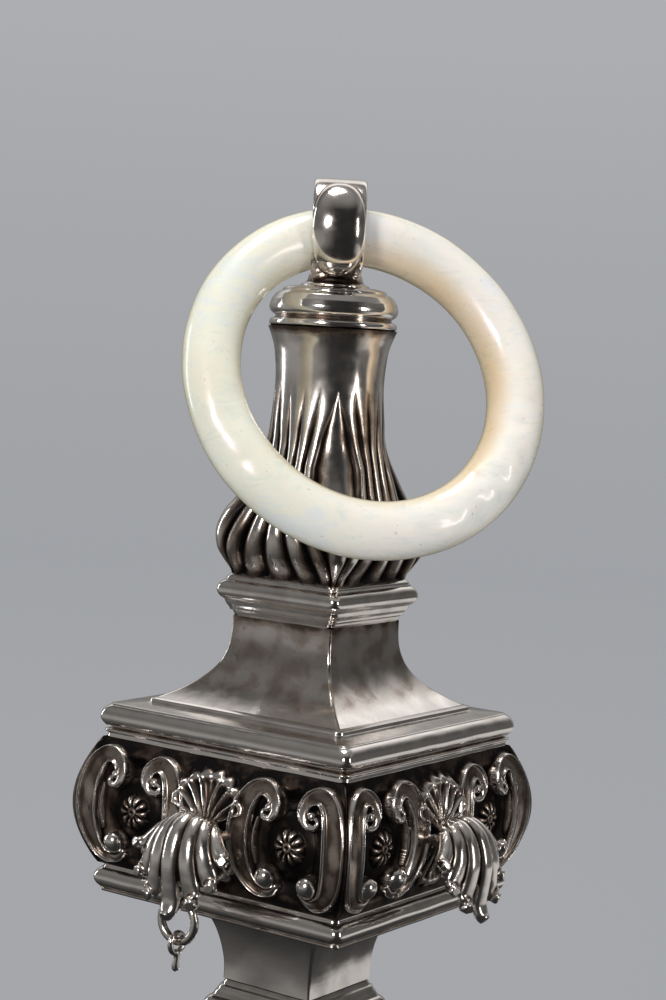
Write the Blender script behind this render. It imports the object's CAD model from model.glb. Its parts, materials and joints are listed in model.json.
"""Silver baby rattle with a pearl teething ring: detailed meshes and materials around the CAD frame."""
import json
import math

import bmesh
import bpy
import numpy as np
from mathutils import Matrix, Vector


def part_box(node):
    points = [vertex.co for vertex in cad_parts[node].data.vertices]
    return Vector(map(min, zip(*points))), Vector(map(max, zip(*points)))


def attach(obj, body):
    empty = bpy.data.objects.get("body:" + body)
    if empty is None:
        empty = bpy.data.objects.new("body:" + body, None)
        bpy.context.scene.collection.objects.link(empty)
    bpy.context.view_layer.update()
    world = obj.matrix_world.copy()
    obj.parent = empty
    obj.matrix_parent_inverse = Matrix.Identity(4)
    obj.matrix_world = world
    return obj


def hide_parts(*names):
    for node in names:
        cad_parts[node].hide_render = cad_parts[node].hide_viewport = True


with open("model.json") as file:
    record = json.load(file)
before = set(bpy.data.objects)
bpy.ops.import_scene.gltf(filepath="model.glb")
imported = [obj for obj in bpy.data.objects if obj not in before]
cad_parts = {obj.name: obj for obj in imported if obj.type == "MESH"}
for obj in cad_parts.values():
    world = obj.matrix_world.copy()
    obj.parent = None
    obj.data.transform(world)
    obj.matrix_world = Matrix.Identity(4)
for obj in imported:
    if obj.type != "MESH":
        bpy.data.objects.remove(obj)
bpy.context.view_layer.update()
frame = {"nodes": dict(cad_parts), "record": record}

MM = 0.001
FACES = ("front", "right", "back", "left")


# ---- Places taken from the frame, in millimetres ----


def low(node):
    """Lowest corner of a node's box, in mm."""
    return [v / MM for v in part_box(node)[0]]


def high(node):
    """Highest corner of a node's box, in mm."""
    return [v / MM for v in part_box(node)[1]]


def rise(node):
    """Foot and height of a node's box, in mm."""
    return low(node)[2], high(node)[2] - low(node)[2]


JOINTS = {j["name"]: j for j in frame["record"]["behaviour"]["joints"]}
HALF_W = high("upper_cornice")[0]
FRIEZE_Z0 = low("frieze_front")[2]
FRIEZE_Z1 = high("frieze_front")[2]
DATUM_RISE = 2.2
DATUM = FRIEZE_Z1 + DATUM_RISE
EYE_Y = -JOINTS["jump_ring_swing"]["pos_m"][1] / MM
EYE_Z = JOINTS["jump_ring_swing"]["pos_m"][2] / MM
JUMP_R = (EYE_Z - JOINTS["bell_link_swing"]["pos_m"][2] / MM) / 2
PIVOT = np.array(JOINTS["ring_swing"]["pos_m"]) / MM
CAP_TOP = high("neck_cap")[2]
STRAP_TOP = high("ring_strap")[2]
STRAP_FACING = math.radians(-54)
AXIS_X, AXIS_Y, AXIS_Z = np.eye(3)


# ---- Camera ----

CAM_AZIMUTH = 35.2
CAM_ELEVATION = 4.2
CAM_ROLL = 3.2
CAM_DISTANCE = 222.4
CAM_RIGHT = 2.34
CAM_UP = 23.42
CAM_LENS = 75.2


def make_camera():
    """Camera at the photograph's angle, aimed near the middle of the handle."""
    az, el, roll = (math.radians(v) for v in (CAM_AZIMUTH, CAM_ELEVATION, CAM_ROLL))
    back = Vector((math.sin(az) * math.cos(el), -math.cos(az) * math.cos(el), math.sin(el)))
    right = Vector((math.cos(az), math.sin(az), 0))
    up = back.cross(right)
    across = right * math.cos(roll) + up * math.sin(roll)
    upward = up * math.cos(roll) - right * math.sin(roll)
    place = (Vector((0, 0, DATUM)) + back * CAM_DISTANCE + across * CAM_RIGHT + upward * CAM_UP) * MM
    data = bpy.data.cameras.new("camera")
    data.sensor_fit = "VERTICAL"
    data.sensor_height = 36
    data.lens = CAM_LENS
    data.clip_start = 0.01
    camera = bpy.data.objects.new("camera", data)
    turn = Matrix((across, upward, back)).transposed().to_4x4()
    camera.matrix_world = Matrix.Translation(place) @ turn
    bpy.context.scene.camera = add_to_scene(camera)


# ---- Mesh helpers ----


def add_to_scene(obj):
    """Links an object to the scene."""
    bpy.context.scene.collection.objects.link(obj)
    return obj


def turn(count):
    """Evenly spaced angles round a full turn, in radians."""
    return np.arange(count) / count * 2 * math.pi


def every_pair(first, second):
    """Two flat arrays that pair each value of first with each of second, row by row."""
    return (g.ravel() for g in np.meshgrid(first, second, indexing="ij"))


def unit_rows(rows):
    """Each row scaled to length 1."""
    return rows / np.linalg.norm(rows, axis=1)[:, None]


def ripple(points, wave, seed):
    """Smooth pseudo-random value from -1 to 1 for each point, with features about wave mm long."""
    rng = np.random.default_rng(seed)
    total = np.zeros(len(points))
    for _ in range(7):
        direction = rng.normal(size=3)
        direction /= np.linalg.norm(direction)
        pace = 2 * math.pi / wave * rng.uniform(0.6, 1.5)
        total += np.sin(points @ direction * pace + rng.uniform(0, 2 * math.pi))
    return total / 4


def smooth_step(value, start, end):
    """0 below start, 1 above end, and a smooth rise between."""
    t = np.clip((value - start) / (end - start), 0, 1)
    return t * t * (3 - 2 * t)


def curve_through(points, steps):
    """Catmull-Rom curve through rows of numbers, with steps pieces between each pair."""
    p = np.array(points, float)
    p = np.vstack([2 * p[0] - p[1], p, 2 * p[-1] - p[-2]])
    rows = []
    for i in range(1, len(p) - 2):
        for t in np.arange(steps) / steps:
            a, b, c, d = p[i - 1:i + 3]
            rows.append(b + (c - a) * t / 2 + (2 * a - 5 * b + 4 * c - d) * t**2 / 2
                        + (3 * b - a - 3 * c + d) * t**3 / 2)
    rows.append(p[-2])
    return np.array(rows)


def arc(cx, cy, radius, start, end, steps):
    """Points on an arc, angles in degrees."""
    angles = np.radians(np.linspace(start, end, steps + 1))
    return [(cx + radius * math.cos(t), cy + radius * math.sin(t)) for t in angles]


def grid_faces(rows, cols, wrap_rows=False, wrap_cols=False):
    """Quads of a grid of points, row by row."""
    i = np.arange(rows if wrap_rows else rows - 1)
    j = np.arange(cols if wrap_cols else cols - 1)
    i, j = np.meshgrid(i, j, indexing="ij")
    i2, j2 = (i + 1) % rows, (j + 1) % cols
    return np.stack([i * cols + j, i * cols + j2, i2 * cols + j2, i2 * cols + j], -1).reshape(-1, 4)


def add_mesh(name, points, faces, values=None):
    """Smooth-shaded object from points in mm, with a float attribute for each entry in values."""
    mesh = bpy.data.meshes.new(name)
    face_lists = faces.tolist() if isinstance(faces, np.ndarray) else faces
    mesh.from_pydata((np.asarray(points) * MM).tolist(), [], face_lists)
    for key, column in (values or {}).items():
        layer = mesh.attributes.new(key, "FLOAT", "POINT")
        layer.data.foreach_set("value", np.asarray(column, np.float32))
    mesh.validate()
    mesh.shade_smooth()
    return add_to_scene(bpy.data.objects.new(name, mesh))


def fix_normals(obj):
    """Points every face outwards."""
    bm = bmesh.new()
    bm.from_mesh(obj.data)
    bmesh.ops.recalc_face_normals(bm, faces=bm.faces)
    bm.to_mesh(obj.data)
    bm.free()


def closed_skin(name, rings):
    """Closed surface through rings of equally many points, with a flat face at each end."""
    points = np.vstack(list(rings))
    sides = len(points) // len(rings)
    faces = grid_faces(len(rings), sides, wrap_cols=True).tolist()
    faces.append(list(range(sides))[::-1])
    faces.append(list(range(len(points) - sides, len(points))))
    obj = add_mesh(name, points, faces)
    fix_normals(obj)
    return obj


def finish_piece(obj, material, slot, body, *nodes):
    """Gives a piece its material, its body and the CAD nodes that it stands for."""
    obj.data.materials.clear()
    obj.data.materials.append(material)
    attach(obj, body)
    if nodes:
        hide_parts(*nodes)


def set_material(node, material):
    """New finish on a CAD node."""
    obj = frame["nodes"][node]
    if not obj.data.materials:
        obj.data.materials.append(material)
    for slot in obj.material_slots:
        slot.material = material


def join(name, objects):
    """One object from several."""
    bpy.ops.object.select_all(action="DESELECT")
    for obj in objects:
        obj.select_set(True)
    bpy.context.view_layer.objects.active = objects[0]
    if len(objects) > 1:
        bpy.ops.object.join()
    objects[0].name = name
    return objects[0]


# Grid step in mm that fuses the cast pieces.
CAST_VOXEL = 0.085


def fuse(obj, voxel, smooth_passes):
    """Fuses overlapping closed shapes into one skin, softened as a casting is."""
    remesh = obj.modifiers.new("fuse", "REMESH")
    remesh.mode = "VOXEL"
    remesh.voxel_size = voxel * MM
    soften = obj.modifiers.new("soften", "SMOOTH")
    soften.factor = 0.5
    soften.iterations = smooth_passes
    graph = bpy.context.evaluated_depsgraph_get()
    mesh = bpy.data.meshes.new_from_object(obj.evaluated_get(graph))
    obj.modifiers.clear()
    obj.data = mesh
    obj.data.shade_smooth()
    return obj


def read_rows(items, key, width, kind=float):
    """One property of many items, as rows of width numbers."""
    values = np.empty(len(items) * width, kind)
    items.foreach_get(key, values)
    return values.reshape(-1, width)


def mark_hollows(obj, reach, passes, gain):
    """Writes a tarnish value to each point: high where the skin lies under its surroundings."""
    mesh = obj.data
    points = read_rows(mesh.vertices, "co", 3) / MM
    normals = read_rows(mesh.vertices, "normal", 3)
    a, b = read_rows(mesh.edges, "vertices", 2, int).T
    degree = np.bincount(np.r_[a, b], minlength=len(points))[:, None]
    average = points.copy()
    for _ in range(passes):
        total = np.zeros_like(average)
        np.add.at(total, a, average[b])
        np.add.at(total, b, average[a])
        average = total / np.maximum(degree, 1)
    depth = ((average - points) * normals).sum(1)
    value = np.clip(0.35 + gain * depth / reach, 0, 1)
    layer = mesh.attributes.get("tarnish") or mesh.attributes.new("tarnish", "FLOAT", "POINT")
    layer.data.foreach_set("value", value.astype(np.float32))


# ---- Turned shapes ----


def rounded_square(count, a, corner):
    """Points and outward normals round a square of half width a with rounded corners.

    The count points are evenly spaced, start at the middle of the +X side and turn towards +Y.
    """
    t = np.arange(count) / count * 4
    quarter = np.floor(t).astype(int)
    straight = a - corner
    bend = corner * math.pi / 2
    run = (t - quarter) * (2 * straight + bend)
    angle = np.clip((run - straight) / max(corner, 1e-9), 0, math.pi / 2)
    x = np.where(run < straight, a, straight + corner * np.cos(angle))
    y = np.where(run < straight, run, straight + corner * np.sin(angle))
    past = run > straight + bend
    x = np.where(past, straight - (run - straight - bend), x)
    y = np.where(past, a, y)
    nx, ny = np.cos(angle), np.sin(angle)
    cos, sin = np.cos(quarter * math.pi / 2), np.sin(quarter * math.pi / 2)
    return (np.stack([x * cos - y * sin, x * sin + y * cos], 1),
            np.stack([nx * cos - ny * sin, nx * sin + ny * cos], 1))


def circle(count, radius):
    """Points round a circle."""
    angle = turn(count)
    return radius * np.column_stack([np.cos(angle), np.sin(angle)])


def at_height(ring, z):
    """A flat ring of points raised to height z."""
    return np.column_stack([ring, np.full(len(ring), z)])


def uneven(points, amount, wave, seed):
    """Points moved a little in or out from the axis, as in hand-worked metal."""
    return points + unit_rows(points * [1, 1, 0]) * (amount * ripple(points, wave, seed))[:, None]


def stained(dark, points, seed):
    """Tarnish kept from 0 to 1, with small random patches."""
    return np.clip(dark + 0.12 * ripple(points, 3, seed), 0, 1)


def open_band(name, rings, wobble, wave, seed, tarnish):
    """Open band through rings round the axis, with one tarnish value for each ring, or none."""
    count = len(rings[0])
    points = uneven(np.vstack(rings), wobble, wave, seed)
    dark = np.repeat(np.zeros(len(rings)) if tarnish is None else tarnish, count)
    dark = stained(dark, points, seed + 1)
    return add_mesh(name, points, grid_faces(len(rings), count, wrap_cols=True), {"tarnish": dark})


def square_moulding(name, profile, corner, seed, wobble=0.03, count=480, tarnish=None):
    """Open band round the axis: profile rows are (half width, height), corner is the edge radius."""
    rings = [at_height(rounded_square(count, a, min(corner, a - 0.01))[0], z) for a, z in profile]
    return open_band(name, rings, wobble, 5, seed, tarnish)


def round_moulding(name, profile, seed, wobble=0.02, count=256, tarnish=None):
    """Open band round the axis: profile rows are (radius, height)."""
    rings = [at_height(circle(count, r), z) for r, z in profile]
    return open_band(name, rings, wobble, 4, seed, tarnish)


def profile_tarnish(profile, amount):
    """Tarnish along a moulding's profile: dark where it turns in, bright where it stands out."""
    a = np.array(profile, float)[:, 0]
    width = 9
    padded = np.pad(a, width, mode="edge")
    around = np.convolve(padded, np.ones(2 * width + 1) / (2 * width + 1), mode="valid")
    return np.clip((around - a) * 2.2 * amount, 0, 1)


def fine(profile, step=0.09):
    """The same profile with points about step mm apart, so that its mesh is even."""
    rows = [profile[0]]
    for (a0, z0), (a1, z1) in zip(profile[:-1], profile[1:]):
        parts = max(1, round(math.hypot(a1 - a0, z1 - z0) / step))
        rows += [(a0 + (a1 - a0) * k / parts, z0 + (z1 - z0) * k / parts)
                 for k in range(1, parts + 1)]
    return rows


# ---- Materials ----


class Nodes:
    """Small helper that adds and links shader nodes."""

    def __init__(self, name):
        self.material = bpy.data.materials.new(name)
        self.material.use_nodes = True
        self.tree = self.material.node_tree
        self.shader = self.tree.nodes["Principled BSDF"]

    def add(self, kind, **settings):
        node = self.tree.nodes.new(kind)
        for key, value in settings.items():
            setattr(node, key, value)
        return node

    def link(self, source, target):
        self.tree.links.new(source, target)

    def attribute(self, name):
        return self.add("ShaderNodeAttribute", attribute_name=name).outputs["Fac"]

    def place(self):
        return self.add("ShaderNodeTexCoord").outputs["Object"]

    def noise(self, scale, detail=3, rough=0.5, stretch=None, warp=0):
        """Noise with features about 1/scale metres across; stretch scales the three axes."""
        source = self.place()
        if stretch:
            mapping = self.add("ShaderNodeMapping")
            mapping.inputs["Scale"].default_value = stretch
            self.link(source, mapping.inputs["Vector"])
            source = mapping.outputs["Vector"]
        node = self.add("ShaderNodeTexNoise")
        node.inputs["Scale"].default_value = scale
        node.inputs["Detail"].default_value = detail
        node.inputs["Roughness"].default_value = rough
        node.inputs["Distortion"].default_value = warp
        self.link(source, node.inputs["Vector"])
        return node.outputs["Fac"]

    def math(self, operation, a, b, clamp=False):
        node = self.add("ShaderNodeMath", operation=operation, use_clamp=clamp)
        for socket, value in zip(node.inputs, (a, b)):
            if isinstance(value, (int, float)):
                socket.default_value = value
            else:
                self.link(value, socket)
        return node.outputs[0]

    def ramp(self, value, stops):
        """Colour ramp; stops are (place, colour)."""
        node = self.add("ShaderNodeValToRGB")
        node.color_ramp.interpolation = "EASE"
        elements = node.color_ramp.elements
        while len(elements) < len(stops):
            elements.new(0.5)
        for element, (place, colour) in zip(elements, stops):
            element.position = place
            element.color = (*colour, 1)
        self.link(value, node.inputs["Fac"])
        return node.outputs["Color"]

    def span(self, value, low_in, high_in, low_out, high_out):
        node = self.add("ShaderNodeMapRange", clamp=True)
        for key, number in zip(("From Min", "From Max", "To Min", "To Max"),
                               (low_in, high_in, low_out, high_out)):
            node.inputs[key].default_value = number
        self.link(value, node.inputs["Value"])
        return node.outputs["Result"]

    def mix(self, factor, base, colour, blend="MIX"):
        """Base colour with a fixed colour laid over it by factor."""
        node = self.add("ShaderNodeMix", data_type="RGBA", blend_type=blend)
        self.link(factor, node.inputs["Factor"])
        self.link(base, node.inputs["A"])
        node.inputs["B"].default_value = (*colour, 1)
        return node.outputs["Result"]

    def vector(self, operation, source, fixed=None):
        """Vector maths on source, with a fixed second vector where it has one."""
        node = self.add("ShaderNodeVectorMath", operation=operation)
        self.link(source, node.inputs[0])
        if fixed:
            node.inputs[1].default_value = fixed
        return node.outputs["Value" if operation == "DOT_PRODUCT" else "Vector"]

    def upward(self, source):
        """Z part of a vector."""
        node = self.add("ShaderNodeSeparateXYZ")
        self.link(source, node.inputs["Vector"])
        return node.outputs["Z"]

    def bump(self, height, strength, distance, before=None):
        node = self.add("ShaderNodeBump")
        node.inputs["Strength"].default_value = strength
        node.inputs["Distance"].default_value = distance
        self.link(height, node.inputs["Height"])
        if before is not None:
            self.link(before, node.inputs["Normal"])
        return node.outputs["Normal"]


BRIGHT = (0.90, 0.87, 0.84)
WARM = (0.46, 0.39, 0.34)
BROWN = (0.12, 0.088, 0.070)
BLACK = (0.016, 0.014, 0.014)


def silver(name, tarnish_shift, roughness):
    """Old polished silver: worn bright on high places, brown-black in hollows, finely scratched."""
    n = Nodes(name)
    blotches = n.span(n.noise(260, 4, 0.6, warp=0.4), 0.35, 0.75, -0.10, 0.16)
    flecks = n.span(n.noise(1500, 4, 0.7), 0.58, 0.8, 0.0, 0.22)
    level = n.math("ADD", n.attribute("tarnish"), blotches)
    level = n.math("ADD", level, flecks)
    level = n.math("ADD", level, tarnish_shift, clamp=True)
    n.link(n.ramp(level, [(0.0, BRIGHT), (0.30, (0.74, 0.70, 0.66)), (0.5, WARM), (0.72, BROWN),
                          (1.0, BLACK)]), n.shader.inputs["Base Color"])
    n.shader.inputs["Metallic"].default_value = 1
    haze = n.span(n.noise(700, 5, 0.65), 0.3, 0.8, roughness - 0.03, roughness + 0.12)
    n.link(n.math("ADD", haze, n.span(level, 0.3, 1.0, 0.0, 0.28)), n.shader.inputs["Roughness"])
    dents = n.bump(n.noise(330, 2), 0.25, 0.00012)
    scratches = n.bump(n.noise(2600, 3, 0.6, stretch=(1, 1, 0.06)), 0.10, 0.00003, dents)
    crossing = n.bump(n.noise(2300, 3, 0.6, stretch=(0.07, 0.07, 1)), 0.08, 0.00003, scratches)
    n.link(crossing, n.shader.inputs["Normal"])
    return n.material


PEARL_SHEEN = {
    "Subsurface Weight": 0.25,
    "Subsurface Radius": (0.002, 0.0016, 0.0011),
    "Subsurface Scale": 1.0,
    "Specular IOR Level": 0.6,
    "Coat Weight": 0.6,
    "Coat Roughness": 0.12,
    "Thin Film Thickness": 420,
    "Thin Film IOR": 1.5,
}


def pearl():
    """Mother-of-pearl: cream and white clouds, greenish shade, orange rind on the inner side."""
    n = Nodes("pearl")
    cloud = n.noise(75, 4, 0.55, warp=1.2)
    layers = n.noise(190, 5, 0.6, stretch=(1, 1, 2.5), warp=2.0)
    mixed = n.math("ADD", n.math("MULTIPLY", cloud, 0.6), n.math("MULTIPLY", layers, 0.4))
    colour = n.ramp(mixed, [(0.30, (0.80, 0.83, 0.78)), (0.42, (0.89, 0.89, 0.83)),
                            (0.50, (0.96, 0.92, 0.84)), (0.60, (0.88, 0.89, 0.90)),
                            (0.72, (0.99, 0.97, 0.95))])
    shade = n.math("MULTIPLY", n.attribute("green"), 0.6)
    colour = n.mix(shade, colour, (0.86, 0.93, 0.82), "MULTIPLY")
    rind = n.math("ADD", n.attribute("rind"), n.span(n.noise(120, 3), 0.35, 0.7, -0.18, 0.12),
                  clamp=True)
    colour = n.mix(n.math("MULTIPLY", rind, 0.8), colour, (0.80, 0.58, 0.30))
    edge = n.add("ShaderNodeLayerWeight")
    edge.inputs["Blend"].default_value = 0.42
    colour = n.mix(n.span(edge.outputs["Facing"], 0.40, 0.95, 0, 0.7), colour, (0.74, 0.66, 0.36))
    specks = n.span(n.noise(1700, 2, 0.5), 0.71, 0.75, 0.0, 0.35)
    colour = n.mix(specks, colour, (0.38, 0.27, 0.16))
    n.link(colour, n.shader.inputs["Base Color"])
    for key, value in PEARL_SHEEN.items():
        n.shader.inputs[key].default_value = value
    n.link(n.span(layers, 0.3, 0.7, 0.24, 0.38), n.shader.inputs["Roughness"])
    waves = n.bump(n.noise(160, 3, 0.5, warp=0.8), 0.35, 0.0004)
    grain = n.bump(n.noise(900, 4, 0.6), 0.12, 0.00008, waves)
    n.link(grain, n.shader.inputs["Normal"])
    return n.material


def shot_metal():
    """Dull grey shot."""
    n = Nodes("lead_shot")
    n.link(n.ramp(n.noise(900, 4), [(0.3, (0.10, 0.10, 0.11)), (0.7, (0.26, 0.26, 0.28))]),
           n.shader.inputs["Base Color"])
    n.shader.inputs["Metallic"].default_value = 0.8
    n.link(n.span(n.noise(700, 3), 0.3, 0.7, 0.45, 0.65), n.shader.inputs["Roughness"])
    n.link(n.bump(n.noise(1200, 4), 0.4, 0.0001), n.shader.inputs["Normal"])
    return n.material


# ---- Teething ring and strap ----

RING_R = 16.38
RING_TUBE_R = 3.0
# Shallow dents: place round the ring, place round its section (degrees), width and depth in mm.
RING_DENTS = [(150, 60, 1.4, 0.28), (138, 80, 1.1, 0.24), (126, 60, 0.9, 0.22), (115, 95, 0.8, 0.18),
              (163, 95, 1.1, 0.16), (144, 110, 0.9, 0.18), (105, 70, 0.9, 0.16), (255, 75, 1.4, 0.18),
              (262, 105, 1.1, 0.14), (240, 60, 1.0, 0.12), (200, 80, 1.5, 0.10)]


def ring_axes():
    """Unit vectors at rest: strap to ring centre, the ring's tangent at the strap, its normal."""
    tangent = -Vector(JOINTS["ring_swing"]["axis"]).normalized()
    middle = (Vector(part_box("pearl_ring")[0]) + Vector(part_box("pearl_ring")[1])) / 2
    down = middle - Vector(PIVOT) * MM
    down = (down - tangent * down.dot(tangent)).normalized()
    return np.array(down), np.array(tangent), np.array(down.cross(tangent))


def pearl_ring(material):
    """Hand-cut ring: its section swells and thins, with shallow dents where the shell was uneven."""
    down, tangent, normal = ring_axes()
    around, across = 640, 96
    u, v = every_pair(turn(around), turn(across))
    centre = PIVOT + down * RING_R
    spoke = -np.outer(np.cos(u), down) + np.outer(np.sin(u), tangent)
    outward = np.cos(v)[:, None] * spoke + np.outer(np.sin(v), normal)
    core = centre + spoke * RING_R
    loose = smooth_step(1 - np.cos(u), 0.02, 0.25)
    section = RING_TUBE_R * (1 + 0.012 * np.cos(u - 2.2) * loose)
    probe = core + outward * 3
    lumps = ripple(probe, 13, 4) * 0.05 + ripple(probe, 6, 9) * 0.02
    for place, spin, width, depth in RING_DENTS:
        gap_u = ((u - math.radians(place) + math.pi) % (2 * math.pi) - math.pi) * RING_R
        gap_v = ((v - math.radians(spin) + math.pi) % (2 * math.pi) - math.pi) * RING_TUBE_R
        lumps -= depth * np.exp(-(gap_u ** 2 + (0.8 * gap_v) ** 2) / width ** 2)
    points = core + outward * (section + (lumps - 0.02) * loose)[:, None]
    rind = smooth_step(-np.cos(v), 0.30, 1.0) * (0.65 + 0.35 * np.cos(u - 2.0))
    rind += 0.35 * smooth_step(np.cos(v), 0.75, 1.0) * smooth_step(np.cos(u - 1.9), 0.0, 0.9)
    green = smooth_step(np.cos(u + 1.5), -0.2, 0.9)
    obj = add_mesh("teething_ring_shell", points, grid_faces(around, across, True, True),
                   {"rind": np.clip(rind, 0, 1), "green": green})
    fix_normals(obj)
    finish_piece(obj, material, "pearl", "teething_ring", "pearl_ring")


def ring_strap(material):
    """Silver band bent over the ring, with a domed shield in front and a short post under it."""
    out = np.array([math.cos(STRAP_FACING), math.sin(STRAP_FACING), 0])
    side = np.array([-out[1], out[0], 0])
    band_t, half = 0.85, 2.75
    middle_z = (CAP_TOP + STRAP_TOP) / 2
    hole_r = (STRAP_TOP - CAP_TOP) / 2 - band_t
    columns = 56
    across = np.linspace(-1, 1, columns)
    angles = np.radians(np.linspace(-70, 250, 150))
    rows = []
    for angle in angles:
        ends = min(angle - angles[0], angles[-1] - angle)
        taper = float(smooth_step(np.array(ends), 0.0, 0.6))
        width = half * (0.90 + 0.10 * taper)
        reach = (abs(angle - math.radians(2)) / math.radians(58)) ** 2 + np.abs(across) ** 2.2
        shield = 1.15 * np.clip(1 - reach, 0, 1) ** 0.62
        edge = 0.22 * (1 - np.sqrt(np.clip(1 - np.abs(across) ** 6, 0, 1)))
        outer_r = hole_r + band_t + shield - edge
        inner_r = hole_r + edge + 0 * across
        ax, az = math.cos(angle) * 0.985, math.sin(angle)
        outer = np.column_stack([ax * outer_r, across * width, middle_z + az * outer_r])
        inner = np.column_stack([ax * inner_r, across * width, middle_z + az * inner_r])[::-1]
        rows.append(np.vstack([outer, inner]))
    local = np.vstack(rows)
    points = np.outer(local[:, 0], out) + np.outer(local[:, 1], side)
    points[:, 2] += local[:, 2]
    band = closed_skin("band", points.reshape(len(angles), 2 * columns, 3))
    rows = [(0.01, -0.1), (3.7, -0.1), (3.6, 0.12), (3.0, 0.38), (2.85, 0.75), (2.8, 1.15),
            (2.3, 1.35), (0.01, 1.35)]
    post = round_moulding("post", fine([(a, CAP_TOP + h) for a, h in rows], 0.12), 12, count=128)
    fix_normals(post)
    obj = fuse(join("strap", [band, post]), CAST_VOXEL, 5)
    mark_hollows(obj, 0.25, 30, 1.6)
    finish_piece(obj, material, "silver", "rattle", "ring_strap")


def neck_cap(material):
    """Round cap: a rounded top, a bead, a dark groove and a lower lip."""
    z = low("neck_cap")[2]
    r = high("neck_cap")[0]
    rows = [(-1.2, -0.1)] + arc(-0.52, 0.42, 0.46, -80, 80, 12)
    rows += [(-0.62, 0.95), (-0.7, 1.12), (-0.55, 1.25)] + arc(-0.85, 2.05, 0.85, -65, 15, 12)
    rows += [(-0.2, 2.8), (-0.62, 3.4), (-1.05, 3.68), (-1.3, 3.72), (-1.36, 3.95), (-1.6, 4.12),
             (-2.4, 4.3)]
    profile = fine([(r + a, z + h) for a, h in rows] + [(3.4, CAP_TOP)])
    obj = round_moulding("cap", profile, 21, wobble=0.035, tarnish=profile_tarnish(profile, 0.9))
    finish_piece(obj, material, "silver", "rattle", "neck_cap")


# ---- Balusters ----


def lobe_places(count, half, lean):
    """Place from -1 to 1 across its lobe for each point round the axis.

    Each corner has one leaf-shaped lobe, half of a quarter turn wide on each side of it. Five
    plainer lobes fill the rest of each face, and a lean under 1 crowds them towards the corners.
    """
    quarter = (np.arange(count) / count * 4) % 1 - 0.5
    reach = np.abs(quarter)
    beside = np.clip((reach - half) / (0.5 - half), 0, 1) ** lean * 2.5
    return np.where(reach < half, reach / half, 2 * (beside % 1) - 1)


def baluster(name, rows, lobe_rows, node, material, seed):
    """Gadrooned handle. rows: (height over its foot, half width, corner radius).

    lobe_rows: (height, depth of the grooves, half width of the corner lobe, lean).
    """
    count = 960
    foot = low(node)[2]
    shape = curve_through(rows, 30)
    lobe = np.array(lobe_rows, float)
    rings, dark = [], []
    for z, a, corner in shape:
        depth = np.interp(z, lobe[:, 0], lobe[:, 1])
        half = np.interp(z, lobe[:, 0], lobe[:, 2])
        lean = np.interp(z, lobe[:, 0], lobe[:, 3])
        ridge = np.sqrt(1 - 0.96 * lobe_places(count, half, lean) ** 2)
        ring, normal = rounded_square(count, a, min(corner, a - 0.001))
        ring = ring + normal * (depth * (ridge - 0.72))[:, None]
        rings.append(at_height(ring, foot + z))
        strength = min(1, depth / 0.4)
        dark.append(strength * np.clip(1.9 * (1 - ridge) ** 1.1, 0, 1) + 0.16)
    points = uneven(np.vstack(rings), 0.03, 5, seed)
    dark = np.concatenate(dark)
    up = (points[:, 2] - points[:, 2].min()) / np.ptp(points[:, 2])
    dark += 0.6 * (1 - smooth_step(np.minimum(up, 1 - up), 0.0, 0.05))
    dark += 0.42 * smooth_step(ripple(points * [1, 1, 0.4], 6, seed + 2), -0.2, 0.9)
    dark = stained(dark, points, seed + 1)
    obj = add_mesh(name, points, grid_faces(len(shape), count, wrap_cols=True), {"tarnish": dark})
    fix_normals(obj)
    finish_piece(obj, material, "oxidised_silver", "rattle", node)


def upper_baluster(material):
    """Handle above the collar: a square gadrooned bulb that narrows to a round neck."""
    rows = [(0, 6.7, 1.0), (0.7, 6.9, 1.1), (1.7, 7.5, 1.4), (3.0, 8.15, 1.9),
            (4.8, 8.45, 2.6), (6.8, 8.0, 2.9), (8.8, 7.15, 3.5), (13.4, 6.15, 5.4),
            (16.9, 5.9, 5.85), (20.7, 5.7, 5.65), (23.8, 5.95, 5.9), (25.4, 6.4, 6.35),
            (26.3, 6.75, 6.7)]
    lobes = [(0, 0.6, 0.02, 0.6), (1.0, 0.75, 0.03, 0.68), (2.6, 1.0, 0.07, 0.84),
             (5, 1.1, 0.13, 1.0), (9, 0.95, 0.20, 1.1), (12, 0.68, 0.20, 1.1),
             (15, 0.42, 0.14, 1.0), (17.5, 0.22, 0.06, 1.0), (19.4, 0.06, 0.008, 1.0),
             (20.2, 0, 0.002, 1.0)]
    baluster("upper_handle", rows, lobes, "upper_baluster", material, 31)


def lower_baluster(material):
    """Handle under the lower collar: round at the whistle and square at the bulb."""
    rows = [(0, 4.5, 4.45), (2.6, 4.35, 4.3), (7.4, 4.95, 4.5), (12.6, 6.3, 3.3),
            (16.6, 7.4, 2.4), (18.9, 7.1, 2.0), (20.6, 6.2, 1.7), (21.6, 5.6, 1.5)]
    lobes = [(3.4, 0, 0.002, 1.0), (4, 0.05, 0.01, 1.0), (6, 0.22, 0.08, 1.0),
             (9, 0.5, 0.18, 1.1), (12.6, 0.8, 0.18, 1.0), (17, 1.0, 0.12, 0.9),
             (20.4, 0.6, 0.04, 0.7), (21.6, 0.2, 0.02, 0.6)]
    baluster("lower_handle", rows, lobes, "lower_baluster", material, 37)


# ---- Square mouldings ----

# Half widths where the roof and the neck are narrowest, and edge radii in mm.
ROOF_TOP_A = 6.4
NECK_FOOT_A = 5.7
SOFT_CORNER = 0.9
CRISP_CORNER = 0.3


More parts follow.
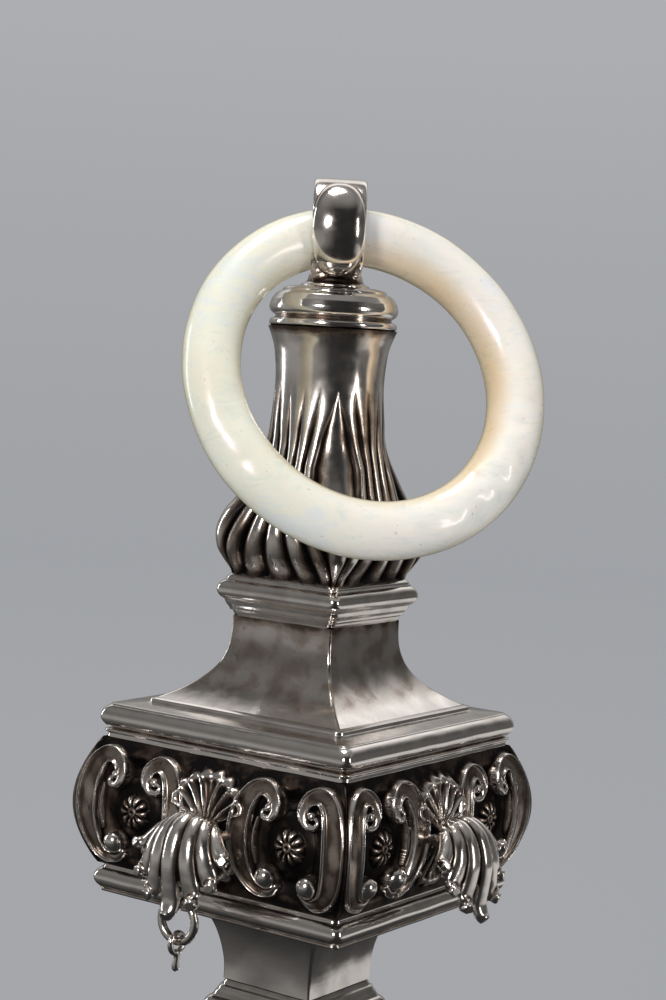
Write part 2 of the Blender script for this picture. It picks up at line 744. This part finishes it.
def collar_profile(z, foot, bead_a, top, way):
    """Collar profile from its foot: cove, fillet, bead and cap; way is 1 up or -1 down."""
    rows = [(foot, 0), (foot + 0.12, 0.25), (foot + 0.2, 0.55), (foot + 0.42, 0.62),
            (foot + 0.5, 0.9), (foot + 0.72, 1.22), (foot + 0.82, 1.5)]
    rows += arc(bead_a - 1.15, 2.75, 1.15, -62, 70, 18)
    rows += [(bead_a - 0.6, 3.85), (bead_a - 0.72, 4.0), (top - 0.05, 4.15), (top - 0.3, 4.4),
             (top - 0.6, 4.6)]
    return fine([(a, z + way * h) for a, h in rows])


def square_piece(name, node, material, profile, corner, seed, tarnish, **mesh):
    """Square moulding that takes the place of one CAD node."""
    piece = square_moulding(name, profile, corner, seed, tarnish=tarnish, **mesh)
    finish_piece(piece, material, "silver", "rattle", node)


def collars(material):
    """Square collars above the roof and below the neck; the lower one is upside down."""
    for name, node, z, widths, way, seed in (
            ("collar_top", "upper_collar", low("upper_collar")[2], (ROOF_TOP_A, 7.9, 7.2), 1, 41),
            ("collar_low", "lower_collar", high("lower_collar")[2], (NECK_FOOT_A, 7.3, 6.4), -1, 43)):
        profile = collar_profile(z, *widths, way)[::way]
        dark = profile_tarnish(profile, 1.3) + 0.12
        square_piece(name, node, material, profile, SOFT_CORNER, seed, dark)


def hollow_sides(material):
    """Roof and neck: hollow-sided skins that widen towards the box."""
    t = np.linspace(0, 1, 90)
    z, height = rise("roof_shell")
    wide, narrow = high("roof_shell")[0], ROOF_TOP_A
    profile = [(narrow + (wide - narrow) * (1 - s) ** 3.2, z + height * s) for s in t]
    dark = 0.40 * smooth_step(t, 0.06, 0.2) + 0.3 * smooth_step(t, 0.86, 1.0)
    square_piece("roof", "roof_shell", material, profile, CRISP_CORNER, 45, dark, wobble=0.05)

    z, height = rise("lower_neck")
    wide, narrow = high("lower_neck")[0], NECK_FOOT_A
    profile = [(narrow + (wide - narrow) * s ** 2.6, z + height * s) for s in t]
    dark = 0.3 * smooth_step(t, 0.6, 1.0)
    square_piece("neck", "lower_neck", material, profile, CRISP_CORNER, 47, dark, wobble=0.05)


def cornices(material):
    """The box's cornices, each with a large round moulding between fillets."""
    foot = HALF_W - 0.5
    top = [(foot - 1.5, -DATUM_RISE), (foot - 0.05, -DATUM_RISE), (foot - 0.1, -1.75),
           (foot + 0.12, -1.6), (foot + 0.14, -1.4), (foot - 0.1, -1.3)]
    top += arc(HALF_W - 1.3, 0, 1.32, -68, 66, 24)
    top += [(HALF_W - 0.78, 1.3), (HALF_W - 1.0, 1.34), (12.75, 1.55), (12.45, 1.62), (12.4, 1.95),
            (12.1, 2.05), (11.9, 2.1), (11.5, 2.12)]

    inner = high("lower_neck")[0]
    under = [(inner - 0.5, 0.02), (inner + 0.4, 0), (inner + 0.5, 0.28), (14.9, 0.36), (15.4, 0.45),
             (15.5, 0.68)]
    under += arc(HALF_W - 1.2, 1.85, 1.2, -68, 66, 22)
    under += [(15.3, 3.0), (15.2, 3.2), (15.35, 3.4), (14.0, 3.4)]

    for name, node, z, rows, seed in (
            ("cornice_top", "upper_cornice", DATUM, top, 49),
            ("cornice_low", "lower_cornice", low("lower_cornice")[2], under, 51)):
        profile = fine([(a, z + h) for a, h in rows])
        dark = profile_tarnish(profile, 0.9)
        square_piece(name, node, material, profile, SOFT_CORNER, seed, dark, wobble=0.045, count=720)


# ---- Frieze ----

SWELL = 1.3
CORNER_RISE = 0.75
# Each scroll runs from its curled eye to its ball: across, up, half width of the band.
INNER_SCROLL = [(7.0, 3.1, .2), (6.6, 2.75, .26), (6.9, 2.2, .34), (7.75, 2.3, .46), (8.3, 3.2, .6),
                (8.0, 4.4, .74), (6.9, 5.15, .86), (5.7, 4.85, 1.02), (4.75, 3.6, 1.2),
                (4.25, 1.7, 1.35), (4.15, -0.4, 1.38), (4.5, -2.5, 1.25), (5.3, -4.2, 1.0),
                (6.4, -5.15, .75), (7.6, -5.25, .52), (8.4, -4.6, .36)]
OUTER_SCROLL = [(12.9, 3.1, .2), (13.3, 2.75, .26), (13.05, 2.2, .34), (12.2, 2.3, .46),
                (11.65, 3.2, .6), (11.9, 4.45, .74), (12.9, 5.25, .86), (14.1, 5.1, 1.02),
                (15.1, 3.9, 1.2), (15.65, 1.9, 1.38), (15.8, -0.4, 1.42), (15.5, -2.7, 1.3),
                (14.7, -4.5, 1.02), (13.6, -5.45, .76), (12.3, -5.5, .52), (11.4, -4.8, .36)]
BALLS = [(7.35, -3.85, 1.2), (12.4, -3.95, 1.2), (7.35, 3.3, 0.5), (12.55, 3.3, 0.5)]
INNER_ARCS = [[(6.0, 2.0, .12), (5.7, 0.6, .2), (5.65, -1.0, .24), (5.95, -2.6, .15)],
              [(14.1, 2.1, .12), (14.35, 0.6, .2), (14.35, -1.0, .24), (14.1, -2.6, .15)]]
ROSETTE = (9.95, -0.35)
ROSETTE_R = 2.0


def band_height(x, z, path, channel=0.0, bulge=0.95):
    """Height of a rounded band over every point.

    With channel at 1 its broad parts are troughs between two thin raised rims.
    """
    rows = curve_through(path, 8)
    nearest = np.full(len(x), 9.0)
    broad = np.full(len(x), 1.0)
    for (x0, z0, w0), (x1, z1, w1) in zip(rows[:-1], rows[1:]):
        dx, dz = x1 - x0, z1 - z0
        near = np.flatnonzero((np.abs(x - (x0 + x1) / 2) < 2.2) & (np.abs(z - (z0 + z1) / 2) < 2.2))
        px, pz = x[near], z[near]
        t = np.clip(((px - x0) * dx + (pz - z0) * dz) / (dx * dx + dz * dz), 0, 1)
        width = w0 + (w1 - w0) * t
        gap = np.hypot(px - x0 - t * dx, pz - z0 - t * dz) / width
        closer = gap < nearest[near]
        nearest[near[closer]] = gap[closer]
        broad[near[closer]] = width[closer]
    crown = np.clip(1 - nearest ** 2, 0, 1) ** 0.5
    broad_part = smooth_step(broad, 0.45, 0.8)
    rim = np.exp(-((nearest - 0.83) / 0.13) ** 2)
    trough = (0.28 + 0.5 * rim) * smooth_step(1 - nearest, 0, 0.08) + 0.12
    plain = bulge * np.minimum(broad, 1.0) * crown
    return np.where(nearest < 1, plain + (trough - plain) * broad_part * channel, -9)


def fan_height(side, up, length, flutes, spread):
    """Height of a shell-like fan of hollow flutes, which opens upwards from its foot at (0, 0).

    Thin ridges part the flutes, and each flute ends in a small rolled tip.
    """
    reach = np.hypot(side, up)
    angle = np.arctan2(side, np.maximum(up, 1e-6)) - 0.16 * (reach / length) ** 2 * np.sign(side)
    flute = angle / spread * flutes / 2 + flutes / 2
    across = 2 * (flute % 1) - 1
    out = reach / (length * (1 - 0.10 * (angle / spread) ** 2 - 0.07 * across ** 2))
    inside = (np.abs(angle) < spread) & (up > 0) & (out < 1.0)
    hollow = 0.25 + (0.10 + 0.50 * np.abs(across) ** 3) * smooth_step(out, 0.0, 0.5)
    rolled = 0.34 * np.exp(-((out - 0.86) / 0.09) ** 2) * np.sqrt(1 - 0.9 * across ** 2)
    height = (hollow + rolled) * smooth_step(1 - out, 0.0, 0.10)
    return np.where(inside, height, -9)


def frieze_relief(x, z):
    """Height of the chased relief over the swelling panel, at across x and up z from its middle."""
    side = np.abs(x)
    relief = np.zeros(len(x))
    oval = np.hypot((side - 9.95) / 5.2, (z + 0.1) / 5.6)
    relief -= 0.85 * (1 - smooth_step(oval, 0.7, 1.05))
    dome = np.hypot((side - 9.95) / 3.0, (z + 0.3) / 3.6)
    relief += 0.5 * np.clip(1 - dome ** 2, 0, 1) ** 0.5
    for path in (INNER_SCROLL, OUTER_SCROLL):
        relief = np.maximum(relief, band_height(side, z, path, 0.9, 1.25))
    for path in INNER_ARCS:
        relief = np.maximum(relief, band_height(side, z, path) - 0.1)
    for bx, bz, radius in BALLS:
        gap = np.hypot(side - bx, z - bz) / radius
        cap = radius * np.sqrt(np.clip(1 - gap ** 2, 0, 1)) + 0.1
        relief = np.maximum(relief, np.where(gap < 1, cap, -9))
    relief = np.maximum(relief, fan_height(side, z + 0.2, 6.3, 7, 1.02))
    relief = np.maximum(relief, 0.8 * fan_height(side, -z - 0.2, 6.0, 5, 0.80))
    rx, rz = side - ROSETTE[0], z - ROSETTE[1]
    reach = np.hypot(rx, rz)
    petal_wave = np.abs(np.cos(np.arctan2(rz, rx) * 5)) ** 0.5
    petals = 0.55 * petal_wave * np.sin(np.clip(reach / ROSETTE_R, 0, 1) * math.pi) ** 0.8
    button = 0.62 * np.sqrt(np.clip(1 - (reach / 0.75) ** 2, 0, 1))
    pit = 0.3 * np.exp(-(reach / 0.22) ** 2)
    relief += np.maximum(petals, button) - pit
    return relief


def frieze_mesh(material):
    """The front panel: a swelling sheet with its chased cartouches, mitred at both ends."""
    columns, rows = 620, 250
    foot = HALF_W - 0.5
    h, s = every_pair(np.linspace(0, 1, rows), np.linspace(-1, 1, columns))
    belly = np.sin(math.pi * h)
    out = foot + SWELL * belly
    corner = CORNER_RISE * belly ** 0.7
    x = s * (out + corner)
    z = (h - 0.5) * (FRIEZE_Z1 - FRIEZE_Z0)
    flat = np.column_stack([x, z, 0 * x])
    relief = frieze_relief(x, z)
    relief += 0.02 * ripple(flat, 0.8, 5) * (relief < 0.05) * smooth_step(z, 2.5, 4.5)
    at_ends = smooth_step(1 - np.abs(s), 0.0, 0.02)
    relief = relief * at_ends + corner * (1 - at_ends)
    edge = smooth_step(np.minimum(h, 1 - h), 0.0, 0.035)
    relief *= edge
    field = relief.reshape(rows, columns)
    blurred = field.copy()
    for _ in range(60):
        blurred[1:-1] = (blurred[:-2] + blurred[2:] + blurred[1:-1]) / 3
        blurred[:, 1:-1] = (blurred[:, :-2] + blurred[:, 2:] + blurred[:, 1:-1]) / 3
    under = (blurred - field).ravel()
    dark = np.clip(0.88 - 0.62 * relief + 2.6 * under, 0, 1)
    dark = np.clip(dark + 0.10 * ripple(flat, 2.2, 8), 0, 1)
    points = np.column_stack([x, -(out + relief), z + (FRIEZE_Z0 + FRIEZE_Z1) / 2])
    obj = add_mesh("panel_front", points, grid_faces(rows, columns), {"tarnish": dark})
    fix_normals(obj)
    return obj


def on_four_faces(first, stem, node_stem, slot, material):
    """Copies a front piece to the other three faces, and finishes all four."""
    for turns, face in enumerate(FACES):
        obj = first
        if turns:
            obj = add_to_scene(first.copy())
            obj.data = first.data.copy()
            obj.data.transform(Matrix.Rotation(turns * math.pi / 2, 4, "Z"))
        obj.name = stem + face
        finish_piece(obj, material, slot, "rattle", node_stem + face)


# ---- Leaf hooks ----

# Lobes of the leaf, from its root to its tip: across, out from the axis, up from the datum, half
# width. The first lobe is the middle one; the others are mirrored.
LEAF_BLADES = [
    [(0.0, 16.8, -9.0, .6), (0.0, 18.2, -8.0, .8), (0.0, 20.0, -7.5, .9), (0.0, 21.7, -8.7, .95),
     (0.0, 22.5, -11.2, .95), (0.0, 22.3, -13.7, 1.0), (0.0, 22.1, -15.4, 1.05),
     (0.0, 22.4, -16.5, .95), (0.0, 22.9, -17.0, .6)],
    [(0.3, 16.8, -9.1, .6), (0.7, 18.2, -8.1, .75), (1.1, 19.9, -7.7, .85), (1.5, 21.4, -8.9, .9),
     (1.8, 22.1, -11.0, .95), (2.05, 22.0, -12.9, 1.0), (2.35, 21.8, -14.3, 1.05),
     (2.65, 22.1, -15.1, .9), (2.85, 22.7, -15.4, .55)],
    [(0.5, 16.8, -9.2, .5), (1.1, 18.1, -8.3, .65), (1.8, 19.5, -8.0, .8), (2.5, 20.7, -8.9, .85),
     (3.1, 21.3, -10.4, .9), (3.55, 21.3, -11.8, 1.0), (4.0, 21.2, -12.8, .95),
     (4.4, 21.5, -13.3, .8), (4.65, 22.1, -13.4, .5)],
    [(0.7, 16.8, -9.3, .45), (1.5, 17.9, -8.6, .55), (2.4, 19.0, -8.4, .7), (3.3, 19.8, -9.0, .75),
     (4.1, 20.3, -9.9, .8), (4.8, 20.5, -10.6, .8), (5.3, 20.9, -10.8, .65),
     (5.6, 21.5, -10.6, .4)],
]
BLADE_T = 0.62
# The webs that join neighbouring lobes: how many of a lobe's rows they follow, and how much deeper
# they lie.
WEB_ROWS = 6
WEB_DEPTH = 0.32
LEAF_CORE = (19.2, -12.0)
BALL_ARM = [(2.7, 16.8, -9.6, .50), (2.9, 18.0, -9.1, .52), (3.0, 19.3, -9.2, .55),
            (2.9, 20.4, -10.1, .52), (2.7, 20.6, -11.3, .46), (2.5, 20.1, -12.2, .40),
            (2.4, 19.4, -12.5, .38)]
ARM_BALL = (2.3, 19.4, -12.1, 0.88)
# Radii in mm of the hook's eye and the broken link, and of their wires and the jump ring's.
EYE_R = 0.88
EYE_WIRE = 0.24
JUMP_WIRE = 0.45
LINK_R = 1.0
LINK_WIRE = 0.31


def blade(name, rows, sides=28):
    """Closed, smoothly domed lobe of a leaf along rows of (x, y, z, half width)."""
    path = curve_through(rows, 7)
    centre, half = path[:, :3], path[:, 3]
    heading = unit_rows(np.gradient(centre, axis=0))
    core = np.array([0, -LEAF_CORE[0], DATUM + LEAF_CORE[1]])
    normal = centre - core
    normal[:, 0] *= 0.25
    normal -= heading * (normal * heading).sum(1)[:, None]
    normal = unit_rows(normal)
    width = np.cross(heading, normal)
    angle = turn(sides)
    rings = []
    for k in range(len(path)):
        thick = BLADE_T * min(1, 0.35 + half[k])
        rings.append(centre[k] + np.outer(half[k] * np.cos(angle), width[k])
                     + np.outer(thick * np.sin(angle), normal[k]))
    return closed_skin(name, rings)


def tube(name, rows, sides=14):
    """Closed tube along rows of (x, y, z, radius), with rounded ends."""
    path = curve_through(rows, 6)
    centre, radius = path[:, :3], path[:, 3]
    heading = unit_rows(np.gradient(centre, axis=0))
    first = unit_rows(np.cross(heading, [1, 0.01, 0]))
    second = np.cross(heading, first)
    caps = 4
    lead = [(centre[0] - heading[0] * radius[0] * math.sin(t), radius[0] * math.cos(t), 0)
            for t in np.linspace(math.pi / 2 - 0.05, 0.2, caps)]
    tail = [(centre[-1] + heading[-1] * radius[-1] * math.sin(t), radius[-1] * math.cos(t), -1)
            for t in np.linspace(0.2, math.pi / 2 - 0.05, caps)]
    middle = [(centre[i], radius[i], i) for i in range(len(path))]
    angle = turn(sides)
    return closed_skin(name, [
        place + size * (np.outer(np.cos(angle), first[k]) + np.outer(np.sin(angle), second[k]))
        for place, size, k in lead + middle + tail])


def ball(name, row):
    """Closed ball from (x, y, z, radius)."""
    rows, columns = 14, 24
    lat, lon = every_pair(np.linspace(0.06, math.pi - 0.06, rows), turn(columns))
    points = np.array(row[:3]) + row[3] * np.column_stack(
        [np.sin(lat) * np.cos(lon), np.sin(lat) * np.sin(lon), np.cos(lat)])
    return closed_skin(name, points.reshape(rows, columns, 3))


def wire_ring(name, centre, radius, wire, axis_u, axis_v):
    """Ring of round wire in the plane of two unit vectors, a little uneven as hand-bent wire is."""
    around, sides = 96, 20
    u, v = every_pair(turn(around), turn(sides))
    spoke = np.outer(np.cos(u), axis_u) + np.outer(np.sin(u), axis_v)
    core = np.array(centre) + spoke * radius
    skin = np.cos(v)[:, None] * spoke + np.outer(np.sin(v), np.cross(axis_u, axis_v))
    points = core + skin * (wire * (1 - 0.05 * (1 + ripple(core, 2, 3))))[:, None]
    obj = add_mesh(name, points, grid_faces(around, sides, True, True))
    fix_normals(obj)
    return obj


def on_hook(rows, side):
    """Rows of (across, out, up, size) placed on the front hook, mirrored where side is -1."""
    return [(side * x, -y, DATUM + z, w) for x, y, z, w in rows]


def leaf_hook():
    """Cast leaf that arches out of the front panel, with a ball-ended arm on each side and an eye."""
    parts = []
    webs = []
    for inner, outer in zip(LEAF_BLADES[:-1], LEAF_BLADES[1:]):
        rows = [(np.array(a) + np.array(b)) / 2 for a, b in zip(inner, outer)][:WEB_ROWS]
        webs.append([(x, y - WEB_DEPTH, z - WEB_DEPTH / 2, 1.1 * w) for x, y, z, w in rows])
    for number, rows in enumerate(LEAF_BLADES + webs):
        for side in (-1, 1) if number else (1,):
            parts.append(blade("blade", on_hook(rows, side)))
    for side in (-1, 1):
        parts.append(tube("arm", on_hook(BALL_ARM, side)))
        parts.append(ball("arm_ball", *on_hook([ARM_BALL], side)))
    parts.append(wire_ring("eye", (0, -EYE_Y, EYE_Z), EYE_R, EYE_WIRE, AXIS_Y, AXIS_Z))
    parts.append(tube("eye_stub", [(0, -EYE_Y - 0.95, EYE_Z + 0.1, .32),
                                   (0, -EYE_Y - 1.6, EYE_Z + 0.4, .4)]))
    obj = fuse(join("leaf_front", parts), CAST_VOXEL, 3)
    mark_hollows(obj, 0.2, 34, 2.2)
    return obj


def hanging_bits(material):
    """Jump ring in the front eye, and the broken bell link on it."""
    piece = wire_ring("jump_wire", (0, -EYE_Y, EYE_Z - JUMP_R), JUMP_R, JUMP_WIRE, AXIS_X, AXIS_Z)
    mark_hollows(piece, 0.3, 6, 0.6)
    finish_piece(piece, material, "oxidised_silver", "jump_ring", "jump_ring")
    z = EYE_Z - 2 * JUMP_R - 0.17
    loop = wire_ring("loop", (0, -EYE_Y, z), LINK_R, LINK_WIRE, AXIS_Y, AXIS_Z)
    shank = tube("shank", [(0, -EYE_Y, z - 0.95, .36), (0.05, -EYE_Y, z - 1.5, .30),
                           (0.0, -EYE_Y - 0.05, z - 2.1, .36), (-0.03, -EYE_Y, z - 2.5, .40)])
    piece = fuse(join("broken_link", [loop, shank]), 0.06, 3)
    mark_hollows(piece, 0.2, 10, 1.2)
    finish_piece(piece, material, "oxidised_silver", "bell_link", "bell_link")


# ---- Whistle ----


def whistle(bright, worn, dark):
    """Ferrule in mesh; the tube, beak, block and stopper keep their CAD shapes."""
    z, height = rise("whistle_ferrule")
    top = z + height
    profile = fine([(4.7, z), (5.25, z + 0.05), (5.3, z + 0.35)]
                   + arc(5.2, z + height / 2, 1.08, -70, 70, 18)
                   + [(5.2, top - 0.35), (4.9, top - 0.05), (4.4, top)])
    piece = round_moulding("ferrule", profile, 61, tarnish=profile_tarnish(profile, 1.0))
    finish_piece(piece, bright, "silver", "rattle", "whistle_ferrule")
    for node in ("whistle_tube", "mouthpiece", "whistle_stopper"):
        set_material(node, worn)
    for node in ("fipple_block", "chamber_floor"):
        set_material(node, dark)


# ---- Studio ----

STUDIO_MIDDLE = (0, 0, 0.11)
# Soft boxes: name, place and size in metres, power in watts and colour.
LIGHTS = [
    ("key", (0.16, -0.80, 0.40), (0.16, 0.24), 3.4, (1, 0.96, 0.93)),
    ("left_strip", (-0.75, -0.15, 0.22), (0.07, 0.50), 0.8, (0.95, 0.97, 1)),
    ("right_box", (0.78, 0.02, 0.26), (0.07, 0.42), 1.0, (1, 0.94, 0.90)),
    ("top", (-0.15, 0.05, 0.95), (0.3, 0.3), 3.2, (1, 0.96, 0.94)),
]
# Heading of each card, where its edge starts and ends, and its brightness at each sine of height.
CARDS = [
    ((-0.575, -0.815), (0.35, 0.85), [(-1, .03), (-0.6, .08), (-0.3, .26), (-0.05, .22), (0.1, .12),
                                      (0.35, .10), (0.55, .14), (0.78, .26), (1, .2)]),
    ((0.575, 0.815), (0.45, 0.85), [(-1, .02), (-0.58, .04), (-0.5, .50), (-0.32, .55), (-0.24, .06),
                                    (0.0, .07), (0.35, .05), (0.5, .10), (0.62, .30), (0.8, .25)]),
    ((-0.575, 0.815), (0.45, 0.70), [(-0.3, .05), (-0.05, .14), (0.15, .20), (0.3, .28), (0.48, .60),
                                     (0.6, 1.0), (0.74, 1.1), (0.80, .15), (1, .10)]),
]


def area_light(name, place, size, power, colour):
    """Soft box aimed at the middle of the rattle."""
    data = bpy.data.lights.new(name, "AREA")
    data.shape = "RECTANGLE"
    data.size, data.size_y = size
    data.energy = power
    data.color = colour
    aim = (Vector(STUDIO_MIDDLE) - Vector(place)).to_track_quat("-Z", "Y")
    light = add_to_scene(bpy.data.objects.new(name, data))
    light.matrix_world = Matrix.Translation(place) @ aim.to_matrix().to_4x4()


def studio_cards(n):
    """Brightness of the room as polished metal sees it: dark, with soft white cards round it."""
    heading_out = n.vector("NORMALIZE", n.vector("SUBTRACT", n.place(), STUDIO_MIDDLE))
    sine = n.upward(heading_out)
    height = n.span(sine, -1, 1, 0, 1)
    total = 0.022
    for heading, edge, levels in CARDS:
        mask = n.span(n.vector("DOT_PRODUCT", heading_out, (*heading, 0)), *edge, 0, 1)
        stops = [((place + 1) / 2, (level, level, level)) for place, level in levels]
        total = n.math("ADD", n.math("MULTIPLY", mask, n.ramp(height, stops)), total)
    overhead = n.span(sine, 0.72, 0.92, 0, 0.2)
    return n.math("ADD", total, overhead)


def backdrop():
    """Plain grey to the camera, and a room of white cards to the metal's reflections."""
    n = Nodes("backdrop")
    n.tree.nodes.remove(n.shader)
    grey = n.ramp(n.span(n.upward(n.place()), -0.1, 0.75, 0, 1),
                  [(0.0, (0.315, 0.325, 0.345)), (1.0, (0.425, 0.430, 0.445))])
    lit = n.add("ShaderNodeEmission")
    n.link(grey, lit.inputs["Color"])
    matt = n.add("ShaderNodeBsdfDiffuse")
    matt.inputs["Color"].default_value = (0.06, 0.06, 0.06, 1)
    seen = n.add("ShaderNodeAddShader")
    n.link(lit.outputs[0], seen.inputs[0])
    n.link(matt.outputs[0], seen.inputs[1])
    mirrored = n.add("ShaderNodeEmission")
    n.link(studio_cards(n), mirrored.inputs["Strength"])
    mirrored.inputs["Color"].default_value = (1.0, 0.965, 0.935, 1)
    path = n.add("ShaderNodeLightPath")
    choice = n.add("ShaderNodeMixShader")
    n.link(path.outputs["Is Glossy Ray"], choice.inputs[0])
    n.link(seen.outputs[0], choice.inputs[1])
    n.link(mirrored.outputs[0], choice.inputs[2])
    n.link(choice.outputs[0], n.tree.nodes["Material Output"].inputs["Surface"])
    return n.material


def studio():
    """Closed pale room: a floor that curves up into a round wall and a dome."""
    reach, bend, lift, top = 1.5, 0.5, 0.9, 1.9
    profile = [(1e-4, 0.0), (reach * 0.35, 0.0), (reach - bend, 0.0)]
    profile += [(reach - bend + bend * math.sin(t), bend * (1 - math.cos(t)))
                for t in np.radians(np.linspace(6, 90, 15))]
    profile += [(reach * math.cos(t), lift + (top - lift) * math.sin(t))
                for t in np.radians(np.linspace(0, 89.9, 20))]
    count = 96
    rings = [at_height(circle(count, r), z) for r, z in profile]
    obj = add_mesh("floor", np.vstack(rings) / MM, grid_faces(len(profile), count, wrap_cols=True))
    obj.data.materials.append(backdrop())
    world = bpy.data.worlds.new("studio")
    world.use_nodes = True
    world.node_tree.nodes["Background"].inputs["Color"].default_value = (0, 0, 0, 1)
    bpy.context.scene.world = world
    bpy.context.scene.view_settings.view_transform = "Standard"
    for light in LIGHTS:
        area_light(*light)


# ---- Build ----

make_camera()
studio()

bright_silver = silver("bright_silver", -0.02, 0.12)
dark_silver = silver("dark_silver", 0.0, 0.16)
pearl_material = pearl()
lead = shot_metal()

pearl_ring(pearl_material)
ring_strap(bright_silver)
neck_cap(bright_silver)
upper_baluster(dark_silver)
lower_baluster(dark_silver)
collars(bright_silver)
hollow_sides(bright_silver)
cornices(bright_silver)
on_four_faces(frieze_mesh(dark_silver), "panel_", "frieze_", "oxidised_silver", dark_silver)
on_four_faces(leaf_hook(), "leaf_", "hook_", "oxidised_silver", dark_silver)
hanging_bits(dark_silver)
whistle(bright_silver, silver("worn_silver", 0.06, 0.34), dark_silver)
for index in range(1, 5):
    set_material("pellet_%d" % index, lead)
